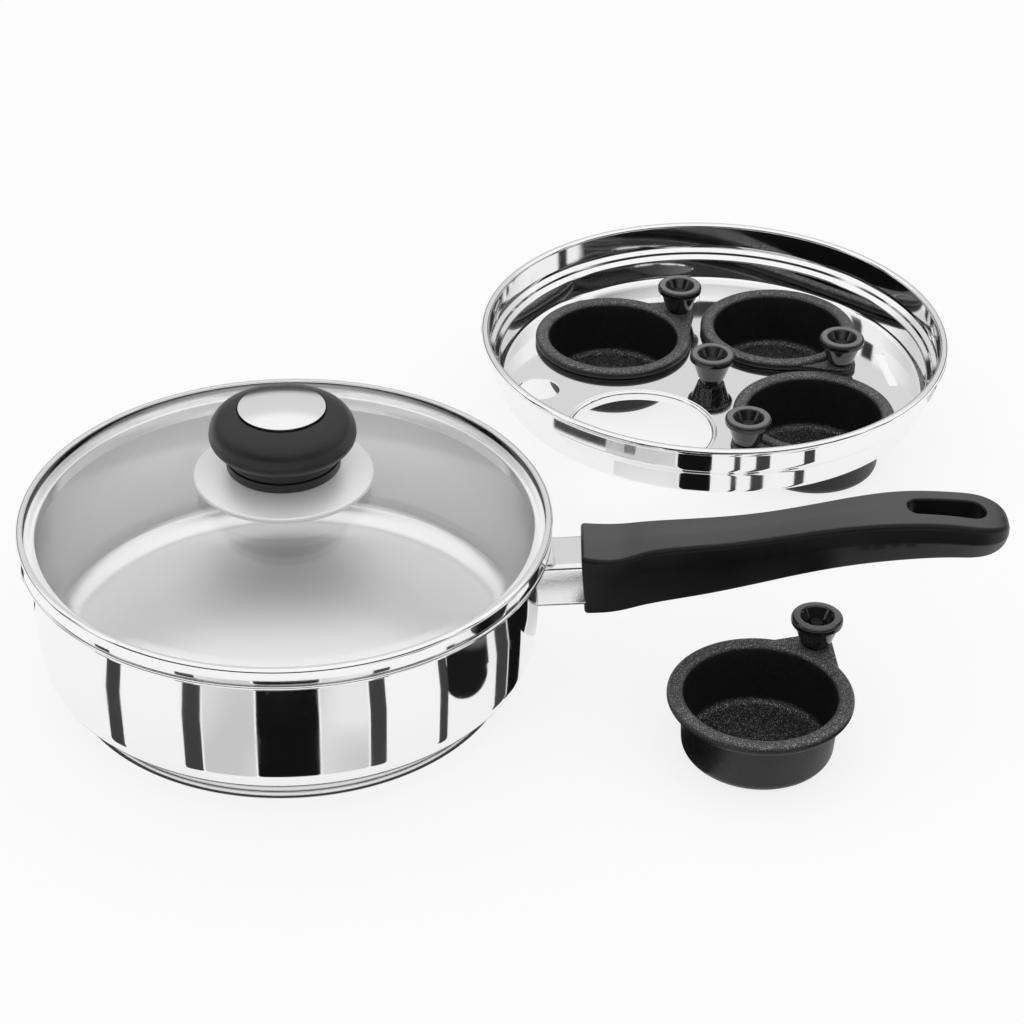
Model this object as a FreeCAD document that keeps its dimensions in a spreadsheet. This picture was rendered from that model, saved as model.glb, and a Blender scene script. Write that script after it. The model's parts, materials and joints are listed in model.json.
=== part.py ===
import FreeCAD, Part
import math
import os
import re
import Sketcher

# Egg poacher pan: a steel pan with a glass lid, a poaching tray and four egg cups.
# The origin is the middle of the pan's underside, +Z is up and +X runs along the handle.
# Lengths are in millimetres, angles in degrees, and shares have no unit.

SIZES = {
    # Pan shell and its bonded base
    "pan_sheet": 0.8,
    "base_height": 7.5,
    "base_inset": 11.6,
    "base_edge_round": 2.2,
    "cap_sheet": 0.7,
    "cap_gap": 3.3,
    "core_fit": 0.1,
    "belly_radius": 99.6,
    "belly_height_share": 0.444,
    "belly_round_share": 1.75,
    "corner_inset": 2.7,
    "corner_round": 14.0,
    "neck_inset": 1.1,
    "neck_drop": 3.4,
    "neck_round": 2.0,
    "turn_reach": 1.6,
    "turn_round": 0.8,
    "lip_reach": 5.3,
    "lip_turn": 1.6,
    "lip_round": 0.9,
    "lip_height": 64.9,
    # Handle: welded strap, bright ferrule and moulded grip
    "handle_slope_share": 0.08,
    "ferrule_bite": 8.0,
    "ferrule_width": 23.0,
    "ferrule_height": 19.6,
    "ferrule_round": 2.4,
    "ferrule_sheet": 1.0,
    "ferrule_drop": 28.4,
    "ferrule_tuck": 7.0,
    "strap_width": 15.0,
    "strap_thickness": 3.0,
    "strap_length": 58.0,
    "socket_fit": 0.15,
    "grip_gap": 14.9,
    "grip_length": 166.4,
    "grip_width": 27.0,
    "crease_above_ferrule": 17.7,
    "grip_rise": 17.6,
    "grip_side": 7.6,
    "grip_crown": 2.8,
    "grip_belly": 20.4,
    "grip_inset": 4.9,
    "grip_top_round": 2.6,
    "grip_crown_round": 24.0,
    "grip_foot_round": 1.6,
    "grip_face_lean": 3.0,
    "grip_end_round": 1.5,
    "hang_edge_round": 1.2,
    "hang_length": 30.0,
    "hang_width": 9.2,
    "hang_tail_width": 12.0,
    "hang_from_tail": 9.5,
    "hang_round": 4.4,
    "hang_tail_round": 5.6,
    "handle_screw_inset": 27.5,
    "handle_screw_radius": 2.0,
    "handle_head_radius": 3.8,
    "handle_head_height": 2.4,
    "handle_head_depth": 5.0,
    "screw_fit": 0.15,
    # Lid band and glass
    "band_overhang": 0.2,
    "band_height": 7.4,
    "band_sheet": 0.7,
    "band_round": 1.5,
    "fold_lift": 1.1,
    "fold_round": 0.7,
    "seat_inset": 2.6,
    "band_lip": 2.8,
    "shelf_width": 4.6,
    "skirt_fit": 0.8,
    "skirt_drop": 4.6,
    "glass_thickness": 4.0,
    "glass_fit": 0.1,
    "glass_shoulder": 3.1,
    "glass_rise": 16.9,
    "glass_hole": 3.4,
    # Lid knob
    "washer_height": 6.0,
    "washer_radius": 15.0,
    "dish_sheet": 0.7,
    "dish_radius": 34.6,
    "dish_flat": 21.0,
    "dish_fall": 3.5,
    "dish_curl": 1.7,
    "dish_round": 0.9,
    "neck_foot_radius": 22.0,
    "neck_band": 3.6,
    "neck_groove": 1.1,
    "neck_groove_depth": 1.1,
    "neck_top": 7.2,
    "bulge_radius": 28.7,
    "bulge_height_share": 0.479,
    "bulge_round_share": 0.186,
    "shoulder_radius": 27.2,
    "shoulder_height_share": 0.826,
    "shoulder_round_share": 0.289,
    "crest_radius": 18.0,
    "knob_height": 24.2,
    "badge_radius": 16.7,
    "badge_depth": 1.3,
    "badge_fit": 0.6,
    "badge_edge": 0.9,
    "badge_dome": 1.6,
    "insert_radius": 4.2,
    "insert_fit": 0.05,
    "insert_length": 12.0,
    "knob_screw_radius": 2.5,
    "knob_screw_grip": 8.0,
    "knob_head_radius": 5.2,
    "knob_head_height": 2.6,
    "inner_washer_radius": 9.0,
    "inner_washer_height": 1.6,
    # Egg cup
    "cup_height": 27.0,
    "cup_clearance": 2.89,
    "cup_rim": 4.0,
    "cup_rim_round": 1.7,
    "cup_wall": 1.2,
    "cup_rim_overhang": 5.2,
    "cup_draft": 1.5,
    "cup_foot_round": 4.8,
    "cup_mouth_round": 1.5,
    "tab_stand_off": 5.0,
    "tab_end_radius": 7.1,
    "tab_drop": 1.4,
    # Small knob of the cups and the tray
    "small_foot_radius": 4.7,
    "small_foot": 1.8,
    "small_waist_radius": 6.1,
    "small_neck_radius": 8.8,
    "small_head_radius": 10.2,
    "small_head_round": 1.0,
    "small_crest_round": 1.5,
    "small_head": 3.6,
    "small_height": 13.6,
    "small_bowl_radius": 7.2,
    "small_bowl_round": 1.0,
    "small_bowl_floor_radius": 3.7,
    "small_bowl_depth": 4.8,
    "small_screw_radius": 1.6,
    "small_head_screw_radius": 3.1,
    "small_head_screw_height": 1.8,
    "small_screw_end": 0.6,
    # Poaching tray
    "tray_x": 177.6,
    "tray_y": 192.2,
    "tray_angle": 53.0,
    "tray_sheet": 0.8,
    "tray_depth": 26.2,
    "tray_corner_inset": 0.6,
    "tray_corner_round": 3.0,
    "tray_fit": 0.7,
    "tray_step": 9.8,
    "tray_shoulder": 14.2,
    "tray_step_round": 2.2,
    "tray_step_reach": 5.0,
    "tray_rim_reach": 2.8,
    "tray_roll": 1.6,
    "cup_circle_share": 0.567,
    "collar_fit": 0.4,
    "collar_round": 1.6,
    "collar_drop": 4.0,
    "vent_inset": 18.0,
    "vent_radius": 9.3,
    "slot_inset": 15.5,
    "slot_length": 30.0,
    "slot_width": 4.2,
    # Where the cups stand
    "cup_tab_angle": 103.0,
    "loose_x": 184.3,
    "loose_y": -50.0,
    "loose_tab_angle": 55.0,
    # One overrun for every cut
    "overrun": 5.0,
}

# Sizes that follow from the ones above, so that the pieces still meet when one of those changes
FOLLOWING = {
    "neck_radius": "belly_radius - neck_inset",
    "neck_height": "lip_height - neck_drop",
    "corner_radius": "belly_radius - corner_inset",
    "base_radius": "belly_radius - base_inset",
    "wall_height": "lip_height - base_height",
    "belly_height": "base_height + wall_height * belly_height_share",
    "belly_round": "wall_height * belly_round_share",
    "turn_radius": "neck_radius + turn_reach",
    "lip_radius": "neck_radius + lip_reach",
    "ferrule_underside": "lip_height - ferrule_drop",
    "strap_height": "ferrule_underside + ferrule_height / 2",
    "grip_start": "belly_radius + grip_gap",
    "grip_crease_height": "ferrule_underside + crease_above_ferrule",
    "handle_screw_reach": "grip_start + handle_screw_inset",
    "band_radius": "lip_radius + band_overhang",
    "glass_flat": "band_radius - glass_shoulder",
    "bulge_height": "knob_height * bulge_height_share",
    "bulge_round": "knob_height * bulge_round_share",
    "shoulder_height": "knob_height * shoulder_height_share",
    "shoulder_round": "knob_height * shoulder_round_share",
    "tray_lower_radius": "neck_radius - pan_sheet - tray_fit",
    "tray_corner_radius": "tray_lower_radius - tray_corner_inset",
    "tray_upper_radius": "tray_lower_radius + tray_step_reach",
    "tray_rim_radius": "tray_upper_radius + tray_rim_reach",
    "cup_circle": "tray_lower_radius * cup_circle_share",
    "cup_radius": "cup_circle * cos(45) - cup_clearance",
    "cup_body_radius": "cup_radius - cup_rim_overhang",
    "cup_foot_radius": "cup_body_radius - cup_draft",
    "tab_reach": "cup_radius + tab_stand_off",
    "vent_circle": "tray_lower_radius - vent_inset",
    "slot_circle": "tray_lower_radius - slot_inset",
}

# Stations along the grip: place along its length, half width, rise of the crease, side above
# the crease, crown of the top, depth below the crease and inset of the underside, each as a
# share of its size.
GRIP_STATION_SHARES = (0.00, 0.15, 0.30, 0.45, 0.60, 0.75, 0.88, 0.95, 0.985, 1.00)
GRIP_WIDTH_SHARES = (1.00, 0.91, 0.82, 0.79, 0.85, 0.97, 1.00, 0.93, 0.64, 0.28)
GRIP_RISE_SHARES = (0.00, 0.10, 0.275, 0.49, 0.79, 1.00, 1.00, 0.955, 0.93, 0.92)
GRIP_SIDE_SHARES = (1.00, 1.00, 1.00, 1.00, 1.00, 1.00, 0.98, 0.88, 0.70, 0.42)
GRIP_CROWN_SHARES = (1.00, 0.95, 0.90, 0.80, 0.65, 0.40, 0.22, 0.20, 0.15, 0.10)
GRIP_DEPTH_SHARES = (1.00, 0.93, 0.84, 0.72, 0.64, 0.575, 0.49, 0.41, 0.28, 0.14)
GRIP_INSET_SHARES = (0.60, 0.62, 0.68, 0.78, 0.86, 0.95, 1.00, 0.95, 0.70, 0.36)

QUARTER_TURN = 90
FULL_TURN = 360
TRAY_CUPS = 3

doc = FreeCAD.newDocument("EggPoacherPan")
sheet = doc.addObject("Spreadsheet::Sheet", "Sizes")
for row, (size_name, size_value) in enumerate((SIZES | FOLLOWING).items(), start=1):
    sheet.set(f"A{row}", size_name)
    sheet.set(f"B{row}", f"={size_value}")
    sheet.setAlias(f"B{row}", size_name)
doc.recompute()

sub_parts = []


# Words for sizes


def bound(text):
    """The expression for the document: every size's name is led back to its cell."""
    return re.sub(r"[a-z]\w*", lambda m: "Sizes." + m[0] if m[0] in SIZES | FOLLOWING else m[0], text)


def value(text):
    """What an expression comes to now."""
    return sheet.evalExpression(bound(text))


def corner(across, up, rounding="0", bow="0"):
    """One corner of an outline, with its rounding and the bow of the edge that leaves it.

    A bow is the radius of an arc to the next corner: it turns left, or right with a minus.
    """
    return {"at": (across, up), "rounding": rounding, "bow": bow}


# Sketches


def start_sketch(body, name, role="XZ_Plane", shift="0"):
    """An empty sketch on one of the body's own planes, moved along that plane's normal."""
    sketch = body.newObject("Sketcher::SketchObject", name)
    plane = next(f for f in body.Origin.OriginFeatures if f.Role == role)
    sketch.AttachmentSupport = [(plane, "")]
    sketch.MapMode = "FlatFace"
    if shift != "0":
        sketch.setExpression(".AttachmentOffset.Base.z", bound(shift))
    return sketch


def name_constraint(sketch, constraint, name, text):
    """Add a constraint and bind its value to the sheet."""
    index = sketch.addConstraint(constraint)
    sketch.renameConstraint(index, name)
    sketch.setExpression("Constraints." + name, bound(text))


def pin_point(sketch, geometry, end, at, name):
    """Hold one point of the sketch at its place from the origin."""
    for text, kind, axis, label in ((at[0], "DistanceX", -2, "across"), (at[1], "DistanceY", -1, "up")):
        if text == "0":
            sketch.addConstraint(Sketcher.Constraint("PointOnObject", geometry, end, axis))
        else:
            constraint = Sketcher.Constraint(kind, -1, 1, geometry, end, value(text))
            name_constraint(sketch, constraint, f"{label}_{name}", text)


def end_at(sketch, geometry, point):
    """Which end of a line or arc lies at the point."""
    first = sketch.getPoint(geometry, 1).distanceToPoint(point)
    last = sketch.getPoint(geometry, 2).distanceToPoint(point)
    return 1 if first < last else 2


def trimmed(before, here, after, radius):
    """Where a rounding of this radius starts and ends on the two edges of a corner, and its middle."""
    back = (before - here).normalize()
    on = (after - here).normalize()
    half = back.getAngle(on) / 2
    reach = radius / math.tan(half)
    inward = (back + on).normalize()
    middle = here + inward * (radius / math.sin(half) - radius)
    return here + back * reach, here + on * reach, middle


def bowed_edge(start, end, bow):
    """An arc from start to end of the given radius, turning left, or right if it is negative."""
    chord = end - start
    left = FreeCAD.Vector(-chord.y, chord.x, 0).normalize()
    half = chord.Length / 2
    sagitta = abs(bow) - math.sqrt(bow * bow - half * half)
    middle = start + chord / 2 - left * math.copysign(sagitta, bow)
    return Part.Arc(start, middle, end)


def draw_outline(sketch, corners, label=""):
    """Draw one closed outline whose corners, roundings and bows are bound to the sheet."""
    count = len(corners)
    places = [FreeCAD.Vector(value(c["at"][0]), value(c["at"][1]), 0) for c in corners]
    arrive = list(places)
    leave = list(places)
    middles = [None] * count
    for i, c in enumerate(corners):
        radius = value(c["rounding"])
        if radius > 0:
            after = places[(i + 1) % count]
            arrive[i], leave[i], middles[i] = trimmed(places[i - 1], places[i], after, radius)
    edges = []
    for i, c in enumerate(corners):
        start = leave[i]
        end = arrive[(i + 1) % count]
        bow = value(c["bow"])
        shape = bowed_edge(start, end, bow) if bow else Part.LineSegment(start, end)
        edges.append(sketch.addGeometry(shape))
        if bow:
            radius = Sketcher.Constraint("Radius", edges[i], abs(bow))
            name_constraint(sketch, radius, f"bow{label}_{i}", c["bow"].lstrip("-"))
    for i, c in enumerate(corners):
        before = edges[i - 1]
        after = edges[i]
        before_end = end_at(sketch, before, arrive[i])
        after_end = end_at(sketch, after, leave[i])
        if middles[i] is None:
            sketch.addConstraint(Sketcher.Constraint("Coincident", before, before_end, after, after_end))
            pin_point(sketch, after, after_end, c["at"], f"{label}_{i}")
            continue
        round_edge = sketch.addGeometry(Part.Arc(arrive[i], middles[i], leave[i]))
        apex = sketch.addGeometry(Part.Point(places[i]), True)
        pin_point(sketch, apex, 1, c["at"], f"{label}_{i}")
        sketch.addConstraint(Sketcher.Constraint("PointOnObject", apex, 1, before))
        sketch.addConstraint(Sketcher.Constraint("PointOnObject", apex, 1, after))
        first = end_at(sketch, round_edge, arrive[i])
        last = end_at(sketch, round_edge, leave[i])
        sketch.addConstraint(Sketcher.Constraint("Tangent", before, before_end, round_edge, first))
        sketch.addConstraint(Sketcher.Constraint("Tangent", after, after_end, round_edge, last))
        radius = Sketcher.Constraint("Radius", round_edge, value(c["rounding"]))
        name_constraint(sketch, radius, f"round{label}_{i}", c["rounding"])


def draw_circle(sketch, across, up, radius, label=""):
    """Draw one circle bound to the sheet."""
    middle = FreeCAD.Vector(value(across), value(up), 0)
    circle = sketch.addGeometry(Part.Circle(middle, FreeCAD.Vector(0, 0, 1), value(radius)))
    pin_point(sketch, circle, 3, (across, up), f"{label}_middle")
    name_constraint(sketch, Sketcher.Constraint("Radius", circle, value(radius)), f"radius{label}", radius)


def draw_axis(sketch, across):
    """Draw an upright construction line to turn something about, away from the origin."""
    foot = FreeCAD.Vector(value(across), 0, 0)
    top = FreeCAD.Vector(value(across), value("overrun"), 0)
    line = sketch.addGeometry(Part.LineSegment(foot, top), True)
    pin_point(sketch, line, 1, (across, "0"), "axis_foot")
    pin_point(sketch, line, 2, (across, "overrun"), "axis_top")


def rounded_box(left, low, right, high, rounding="0"):
    """The corners of a rectangle."""
    places = ((left, low), (right, low), (right, high), (left, high))
    return [corner(across, up, rounding) for across, up in places]


# Features


def new_body(label):
    body = doc.addObject("PartDesign::Body", label)
    body.Label = label
    sub_parts.append(body)
    return body


def turn(body, sketch, cut=False, axis="V_Axis"):
    """Turn a sketch about an axis, adding to the body or cutting it."""
    kind = "PartDesign::Groove" if cut else "PartDesign::Revolution"
    feature = body.newObject(kind, sketch.Name + "_turned")
    feature.Profile = sketch
    feature.ReferenceAxis = (sketch, [axis])
    feature.Angle = FULL_TURN
    return feature


def pad(body, sketch, length):
    """Push a sketch out along its normal."""
    feature = body.newObject("PartDesign::Pad", sketch.Name + "_pad")
    feature.Profile = sketch
    feature.setExpression("Length", bound(length))
    return feature


def pad_along_handle(body, sketch, length):
    """Push a sketch out along the handle's slope; the length is measured level."""
    follow_slope(pad(body, sketch, length))


def pocket_along_handle(body, sketch, length):
    """Cut a sketch into the body along the handle's slope; the length is measured level."""
    feature = body.newObject("PartDesign::Pocket", sketch.Name + "_pocket")
    feature.Profile = sketch
    feature.setExpression("Length", bound(length))
    follow_slope(feature)


def follow_slope(feature):
    feature.UseCustomVector = True
    feature.AlongSketchNormal = True
    feature.Direction = FreeCAD.Vector(1, 0, value("handle_slope_share"))
    feature.setExpression("Direction.z", bound("handle_slope_share"))


def cut_through(body, sketch):
    """Cut a sketch right through the body, both ways."""
    feature = body.newObject("PartDesign::Pocket", sketch.Name + "_through")
    feature.Profile = sketch
    feature.Type = "ThroughAll"
    feature.Midplane = True
    return feature


def round_edges(body, name, radius, wanted):
    """Round those edges of the body so far whose bounding boxes pass a test."""
    doc.recompute()
    base = body.Tip
    edges = enumerate(base.Shape.Edges, start=1)
    feature = body.newObject("PartDesign::Fillet", name)
    feature.Base = (base, [f"Edge{number}" for number, edge in edges if wanted(edge.BoundBox)])
    feature.setExpression("Radius", bound(radius))


def turned_part(label, corners):
    """A sub-part made by turning one outline about the upright axis."""
    body = new_body(label)
    sketch = start_sketch(body, label + "_outline")
    draw_outline(sketch, corners)
    turn(body, sketch)
    return body


def place(body, across="0", along="0", up="0", angle="0"):
    """Put a sub-part where it belongs."""
    for axis, text in (("x", across), ("y", along), ("z", up)):
        if text != "0":
            body.setExpression(f".Placement.Base.{axis}", bound(text))
    if angle != "0":
        body.Placement.Rotation = FreeCAD.Rotation(FreeCAD.Vector(0, 0, 1), value(angle))
        body.setExpression(".Placement.Rotation.Angle", bound(angle))


# Pan: the outside of the wall, from the foot to the neck, also trims the ferrule and the strap

WALL_OUTSIDE = [
    corner("corner_radius", "base_height", "corner_round"),
    corner("belly_radius", "belly_height", "belly_round"),
    corner("neck_radius", "neck_height", "neck_round"),
]
WALL_INSIDE = [
    corner("neck_radius - pan_sheet", "neck_height + pan_sheet / 4", "neck_round + pan_sheet"),
    corner("belly_radius - pan_sheet", "belly_height", "belly_round - pan_sheet"),
    corner("corner_radius - pan_sheet", "base_height + pan_sheet", "corner_round - pan_sheet"),
]


def make_pan_shell():
    turned_part("pan_shell", [
        corner("0", "base_height"),
        *WALL_OUTSIDE,
        corner("turn_radius", "lip_height - pan_sheet", "turn_round"),
        corner("lip_radius - pan_sheet", "lip_height - pan_sheet"),
        corner("lip_radius - pan_sheet", "lip_height - lip_turn"),
        corner("lip_radius", "lip_height - lip_turn"),
        corner("lip_radius", "lip_height", "lip_round"),
        corner("turn_radius - pan_sheet", "lip_height", "turn_round + pan_sheet"),
        *WALL_INSIDE,
        corner("0", "base_height + pan_sheet"),
    ])


def make_base():
    core = "base_radius - cap_sheet - core_fit"
    turned_part("base_core", [
        corner("0", "cap_sheet"),
        corner(core, "cap_sheet", "base_edge_round - cap_sheet"),
        corner(core, "base_height"),
        corner("0", "base_height"),
    ])
    turned_part("base_cap", [
        corner("0", "0"),
        corner("base_radius", "0", "base_edge_round"),
        corner("base_radius", "base_height - cap_gap"),
        corner("base_radius - cap_sheet", "base_height - cap_gap"),
        corner("base_radius - cap_sheet", "cap_sheet", "base_edge_round - cap_sheet"),
        corner("0", "cap_sheet"),
    ])


# Handle


def slope_rise(across):
    """How far the sloping handle has risen at this distance from the pan's axis."""
    return f"handle_slope_share * ({across} - belly_radius)"


def trim_to_wall(body, name):
    """Cut the end of a handle piece to the pan's wall."""
    sketch = start_sketch(body, name)
    foot = WALL_OUTSIDE[0]["at"][0]
    neck = WALL_OUTSIDE[-1]["at"]
    draw_outline(sketch, [
        corner("0", "base_height"),
        *WALL_OUTSIDE[:-1],
        corner(*neck),
        corner(foot, "lip_height"),
        corner("0", "lip_height"),
    ])
    turn(body, sketch, cut=True)


FERRULE_START = "(belly_radius - ferrule_bite)"
FERRULE_END = "(grip_start + ferrule_tuck)"
STRAP_END = "(belly_radius + strap_length)"


def ferrule_section(across, inset):
    """The ferrule's rounded section, drawn in by an inset, where it crosses this distance."""
    rise = slope_rise(across)
    half = f"(ferrule_width / 2 - {inset})"
    low = f"ferrule_underside + {inset} + {rise}"
    high = f"ferrule_underside + ferrule_height - {inset} + {rise}"
    return rounded_box(f"-{half}", low, half, high, f"ferrule_round - {inset}")


def strap_section(across, room):
    """The strap's section, let out by some room, where it crosses this distance."""
    rise = slope_rise(across)
    half = f"(strap_width / 2 + {room})"
    low = f"strap_height - strap_thickness / 2 - {room} + {rise}"
    high = f"strap_height + strap_thickness / 2 + {room} + {rise}"
    return rounded_box(f"-{half}", low, half, high)


def make_ferrule():
    body = new_body("handle_ferrule")
    sketch = start_sketch(body, "ferrule_tube", "YZ_Plane", FERRULE_START)
    draw_outline(sketch, ferrule_section(FERRULE_START, "socket_fit"), "_outer")
    draw_outline(sketch, ferrule_section(FERRULE_START, "(socket_fit + ferrule_sheet)"), "_inner")
    pad_along_handle(body, sketch, f"{FERRULE_END} - {FERRULE_START}")
    trim_to_wall(body, "ferrule_wall_cut")


def make_strap():
    body = new_body("handle_bracket")
    sketch = start_sketch(body, "strap_bar", "YZ_Plane", FERRULE_START)
    draw_outline(sketch, strap_section(FERRULE_START, "0"))
    pad_along_handle(body, sketch, f"{STRAP_END} - {FERRULE_START}")
    trim_to_wall(body, "strap_wall_cut")
    hole = start_sketch(body, "strap_hole", "XY_Plane")
    draw_circle(hole, "handle_screw_reach", "0", "handle_screw_radius + screw_fit")
    cut_through(body, hole)


def grip_section(width, rise, side, crown, depth, inset):
    """One cross-section of the grip: crowned top, upright side, crease and drawn-in underside."""
    half = f"grip_width / 2 * {width}"
    crease = f"grip_crease_height + grip_rise * {rise}"
    top = f"{crease} + grip_side * {side}"
    low = f"{crease} - grip_belly * {depth}"
    foot = f"{half} - grip_inset * {inset}"
    return [
        corner(half, crease),
        corner(half, top, f"grip_top_round * {side}"),
        corner("0", f"{top} + grip_crown * {crown}", f"grip_crown_round * {width}"),
        corner(f"-{half}", top, f"grip_top_round * {side}"),
        corner(f"-{half}", crease),
        corner(f"-({foot})", low, f"grip_foot_round * {side}"),
        corner(foot, low, f"grip_foot_round * {side}"),
    ]


GRIP_TAIL = "(grip_start + grip_length)"
HANG_END = f"({GRIP_TAIL} - hang_from_tail)"
SCREW_SEAT = (
    "(strap_height - strap_thickness / 2 - handle_head_depth + "
    + slope_rise("handle_screw_reach") + ")"
)


def make_grip():
    body = new_body("handle_grip")
    sections = []
    for number, station in enumerate(GRIP_STATION_SHARES):
        where = f"grip_start + grip_length * {station}"
        sketch = start_sketch(body, f"grip_section_{number}", "YZ_Plane", where)
        shares = (
            GRIP_WIDTH_SHARES[number],
            GRIP_RISE_SHARES[number],
            GRIP_SIDE_SHARES[number],
            GRIP_CROWN_SHARES[number],
            GRIP_DEPTH_SHARES[number],
            GRIP_INSET_SHARES[number],
        )
        draw_outline(sketch, grip_section(*shares))
        sections.append(sketch)
    loft = body.newObject("PartDesign::AdditiveLoft", "grip_loft")
    loft.Profile = sections[0]
    loft.Sections = sections[1:]

    face = start_sketch(body, "grip_face")
    low = "grip_crease_height - grip_belly - overrun"
    high = "grip_crease_height + grip_side + grip_crown + overrun"
    draw_outline(face, [
        corner("grip_start - overrun", low),
        corner("grip_start + grip_face_lean", low),
        corner("grip_start", high),
        corner("grip_start - overrun", high),
    ])
    cut_through(body, face)

    hole = start_sketch(body, "hang_hole", "XY_Plane")
    draw_outline(hole, [
        corner(f"{HANG_END} - hang_length", "-hang_width / 2", "hang_round"),
        corner(HANG_END, "-hang_tail_width / 2", "hang_tail_round"),
        corner(HANG_END, "hang_tail_width / 2", "hang_tail_round"),
        corner(f"{HANG_END} - hang_length", "hang_width / 2", "hang_round"),
    ])
    cut_through(body, hole)

    face_limit = value("grip_start + grip_face_lean")
    tip_limit = value(f"{GRIP_TAIL} - grip_end_round")
    slot_start = value(f"{HANG_END} - hang_length - hang_edge_round")
    slot_end = value(f"{HANG_END} + hang_edge_round")
    slot_side = value("hang_tail_width / 2 + hang_edge_round")
    crease = value("grip_crease_height + grip_rise")
    round_edges(body, "grip_face_round", "grip_end_round", lambda box: box.XMax < face_limit)
    round_edges(body, "grip_tip_round", "grip_end_round", lambda box: box.XMin > tip_limit)
    round_edges(
        body, "hang_hole_round", "hang_edge_round",
        lambda box: box.XMin > slot_start and box.XMax < slot_end and box.ZMin > crease
        and max(-box.YMin, box.YMax) < slot_side,
    )

    socket = start_sketch(body, "ferrule_socket", "YZ_Plane", "grip_start - overrun")
    draw_outline(socket, ferrule_section("(grip_start - overrun)", "0"))
    pocket_along_handle(body, socket, "overrun + ferrule_tuck")
    slot = start_sketch(body, "strap_slot", "YZ_Plane", "grip_start - overrun")
    draw_outline(slot, strap_section("(grip_start - overrun)", "socket_fit"))
    pocket_along_handle(body, slot, f"{STRAP_END} - grip_start + overrun + socket_fit")

    bore = start_sketch(body, "grip_screw_bore")
    reach = "handle_screw_reach"
    middle = f"strap_height + {slope_rise(reach)}"
    under = "grip_crease_height - grip_belly - overrun"
    head = f"{reach} + handle_head_radius + screw_fit"
    shank = f"{reach} + handle_screw_radius + screw_fit"
    draw_axis(bore, reach)
    draw_outline(bore, [
        corner(reach, under),
        corner(head, under),
        corner(head, SCREW_SEAT),
        corner(shank, SCREW_SEAT),
        corner(shank, middle),
        corner(reach, middle),
    ])
    turn(body, bore, cut=True, axis="Axis0")


def make_handle_screw():
    top = "handle_head_depth + strap_thickness - screw_fit"
    body = turned_part("handle_screw", [
        corner("0", "-handle_head_height"),
        corner("handle_head_radius", "-handle_head_height"),
        corner("handle_head_radius", "0"),
        corner("handle_screw_radius", "0"),
        corner("handle_screw_radius", top),
        corner("0", top),
    ])
    place(body, "handle_screw_reach", "0", SCREW_SEAT)


# Lid

BAND_TOP = "(lip_height + band_height)"
GLASS_TOP = f"({BAND_TOP} - band_sheet)"
GLASS_UNDER = f"({GLASS_TOP} - glass_thickness)"
GLASS_CROWN = f"({GLASS_TOP} + glass_rise)"
DOME_RADIUS = "((glass_flat ^ 2 + glass_rise ^ 2) / (2 * glass_rise))"
DISH_UNDER = f"({GLASS_CROWN} + washer_height)"
KNOB_FOOT = f"({DISH_UNDER} + dish_sheet)"
INNER_FACE = f"({GLASS_CROWN} - glass_thickness - inner_washer_height)"


def make_lid_glass():
    edge = "band_radius - band_sheet - glass_fit"
    turned_part("lid_glass", [
        corner("glass_hole", GLASS_CROWN, bow=f"-{DOME_RADIUS}"),
        corner("glass_flat", GLASS_TOP),
        corner(edge, GLASS_TOP),
        corner(edge, GLASS_UNDER),
        corner("glass_flat", GLASS_UNDER, bow=f"({DOME_RADIUS} - glass_thickness)"),
        corner("glass_hole", f"{GLASS_CROWN} - glass_thickness"),
    ])


def make_lid_band():
    inside = "band_radius - band_sheet"
    skirt = "(neck_radius - pan_sheet - skirt_fit)"
    shelf = f"{inside} - shelf_width"
    fold = "lip_height + fold_lift"
    turned_part("lid_band", [
        corner("band_radius - band_lip", BAND_TOP),
        corner("band_radius", BAND_TOP, "band_round"),
        corner("band_radius", fold, "fold_round"),
        corner("band_radius - seat_inset", fold),
        corner("band_radius - seat_inset", "lip_height"),
        corner(skirt, "lip_height"),
        corner(skirt, "lip_height - skirt_drop"),
        corner(f"{skirt} - band_sheet", "lip_height - skirt_drop"),
        corner(f"{skirt} - band_sheet", "lip_height + band_sheet", "band_sheet"),
        corner(shelf, "lip_height + band_sheet"),
        corner(shelf, GLASS_UNDER),
        corner(inside, GLASS_UNDER),
        corner(inside, GLASS_TOP),
        corner("band_radius - band_lip", GLASS_TOP),
    ])


def make_knob_washers():
    turned_part("knob_washer", [
        corner("glass_hole", GLASS_CROWN),
        corner("washer_radius", GLASS_CROWN),
        corner("washer_radius", DISH_UNDER),
        corner("glass_hole", DISH_UNDER),
    ])
    turned_part("inner_washer", [
        corner("glass_hole", INNER_FACE),
        corner("inner_washer_radius", INNER_FACE),
        corner("inner_washer_radius", f"{GLASS_CROWN} - glass_thickness - inner_washer_height / 4"),
        corner("glass_hole", f"{GLASS_CROWN} - glass_thickness"),
    ])


def make_knob_dish():
    edge = f"{KNOB_FOOT} - dish_fall"
    turned_part("knob_dish", [
        corner("glass_hole", DISH_UNDER),
        corner("dish_flat", DISH_UNDER, "dish_sheet"),
        corner("dish_radius - dish_sheet", f"{edge} - dish_sheet", "dish_round - dish_sheet / 2"),
        corner("dish_radius - dish_sheet", f"{edge} - dish_curl"),
        corner("dish_radius", f"{edge} - dish_curl"),
        corner("dish_radius", edge, "dish_round"),
        corner("dish_flat", KNOB_FOOT, "dish_sheet"),
        corner("glass_hole", KNOB_FOOT),
    ])


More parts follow.
